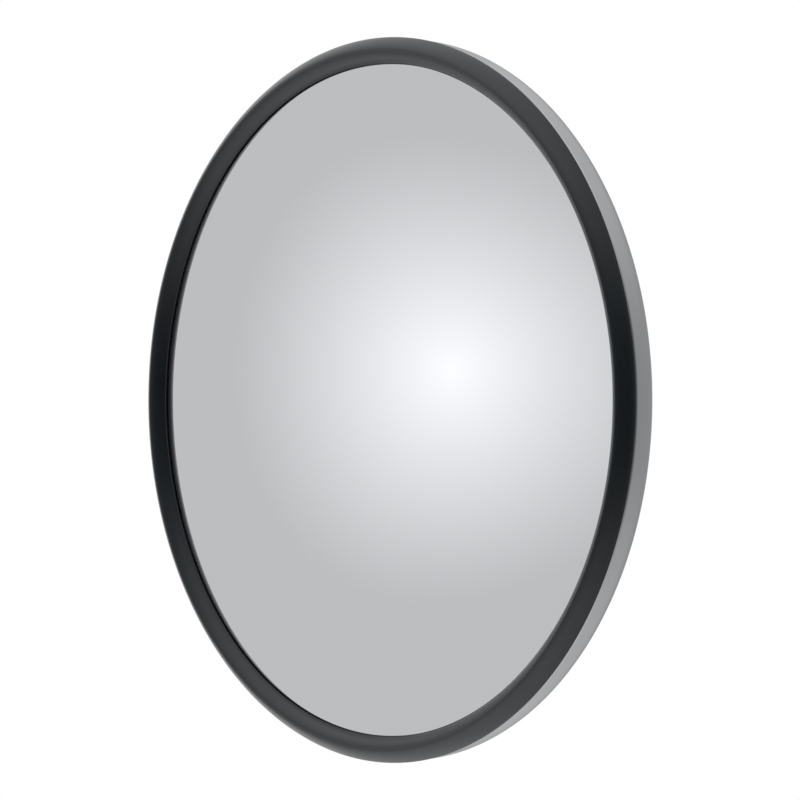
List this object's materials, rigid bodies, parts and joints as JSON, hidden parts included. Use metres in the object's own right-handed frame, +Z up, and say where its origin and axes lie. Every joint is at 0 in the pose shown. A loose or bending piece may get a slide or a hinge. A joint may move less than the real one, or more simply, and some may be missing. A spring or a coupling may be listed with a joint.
{
  "type": "round convex mirror head",
  "caption": "Round convex mirror in a black rubber rim and a domed stainless shell, turning and tilting on a threaded ball stud.",
  "frame": {"origin": "on the stud's axis, on the rear face of the hex shoulder, where a bracket bears", "axes": "+Z up, the glass faces -Y, the stud points along +Y, +X is to the right seen from the front"},
  "size_m": [0.2159, 0.0934, 0.2158],
  "materials": {
    "chromed_glass": "polished, chromed on the front",
    "rim_rubber": "satin extruded rubber",
    "stainless_shell": "satin drawn stainless steel",
    "stainless_cap": "pressed stainless steel",
    "zinc_plated_steel": "zinc plated",
    "zinc_plated_stud": "zinc plated, turned",
    "zinc_plated_nut": "zinc plated, cold formed",
    "bright_steel": "bright",
    "plain_steel": "machined",
    "spring_steel": "dark oiled",
    "nylon": "moulded natural nylon",
    "moulded_cover": "moulded rubber, semi-matt",
    "seal_rubber": "matt die-cut rubber"
  },
  "bodies": {
    "root": {"ball_stud": "zinc_plated_stud"},
    "dust_cover": {"dust_cover": "moulded_cover"},
    "ball_liner": {"ball_liner": "nylon"},
    "head": {"mirror_glass": "chromed_glass", "rim_gasket": "rim_rubber", "back_shell": "stainless_shell", "reinforcing_plate": "zinc_plated_steel", "plate_rivets": "bright_steel", "weld_nuts": "zinc_plated_steel", "cap_seal": "seal_rubber", "socket_cap": "stainless_cap", "clamp_lock_washers": "zinc_plated_steel", "clamp_screws": "bright_steel", "pressure_cup": "plain_steel", "disc_springs": "spring_steel", "spring_housing": "zinc_plated_steel"},
    "stud_washers": {"flat_washer": "zinc_plated_steel", "lock_washer": "zinc_plated_steel"},
    "nut": {"hex_nut": "zinc_plated_nut"}
  },
  "joints": [
    {"name": "head_spin", "type": "hinge", "parent": "root", "child": "dust_cover", "pos_m": [0, -0.02, 0], "axis": [0, 1, 0], "continuous": true},
    {"name": "head_pan", "type": "hinge", "parent": "dust_cover", "child": "ball_liner", "pos_m": [0, -0.02, 0], "axis": [0, 0, 1], "range_deg": [-15, 15]},
    {"name": "head_tilt", "type": "hinge", "parent": "ball_liner", "child": "head", "pos_m": [0, -0.02, 0], "axis": [1, 0, 0], "range_deg": [-15, 15]},
    {"name": "nut_travel", "type": "slide", "parent": "root", "child": "stud_washers", "axis": [0, 1, 0], "range_m": [0, 0.04]},
    {"name": "nut_spin", "type": "hinge", "parent": "stud_washers", "child": "nut", "pos_m": [0, 0, 0], "axis": [0, 1, 0], "range_deg": [0, 9072]}
  ],
  "couplings": [
    {"joint": "nut_spin", "follows": "nut_travel", "rad_per_m": 3957.9}
  ]
}
